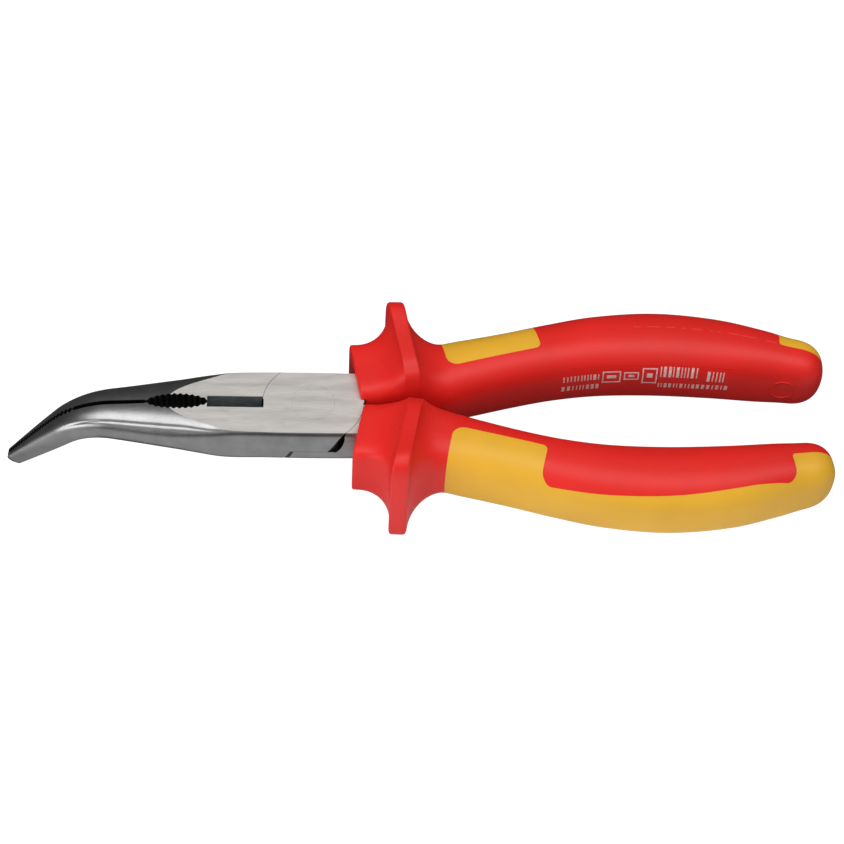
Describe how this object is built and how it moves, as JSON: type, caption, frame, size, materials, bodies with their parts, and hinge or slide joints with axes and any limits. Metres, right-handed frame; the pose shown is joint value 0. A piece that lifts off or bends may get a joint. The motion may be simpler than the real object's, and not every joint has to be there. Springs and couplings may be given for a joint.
{
  "type": "needle nose pliers",
  "caption": "Insulated bent-nose pliers with a lap joint, side cutters, a toothed pipe grip and two-colour moulded handles with finger guards.",
  "frame": {"origin": "on the pivot axis in the rear ground face of the joint", "axes": "+X from the pivot towards the handles, -X towards the nose; +Y across the jaws; +Z out of the front ground face, with the nose bent towards -Z"},
  "size_m": [0.2005, 0.0604, 0.034],
  "materials": {
    "steel": "ground faces, satin forged nose",
    "rivet": "ground flush",
    "yellow_sleeve": "satin",
    "red_grip": "satin"
  },
  "bodies": {
    "front_half": {"front_jaw_half": "steel", "pivot_rivet": "rivet", "upper_grip_sleeve": "yellow_sleeve", "upper_grip_shell": "red_grip"},
    "rear_half": {"rear_jaw_half": "steel", "lower_grip_sleeve": "yellow_sleeve", "lower_grip_shell": "red_grip"}
  },
  "joints": [
    {"name": "pivot", "type": "hinge", "parent": "front_half", "child": "rear_half", "pos_m": [0, 0, 0.0052], "axis": [0, 0, -1], "range_deg": [0, 40]}
  ]
}
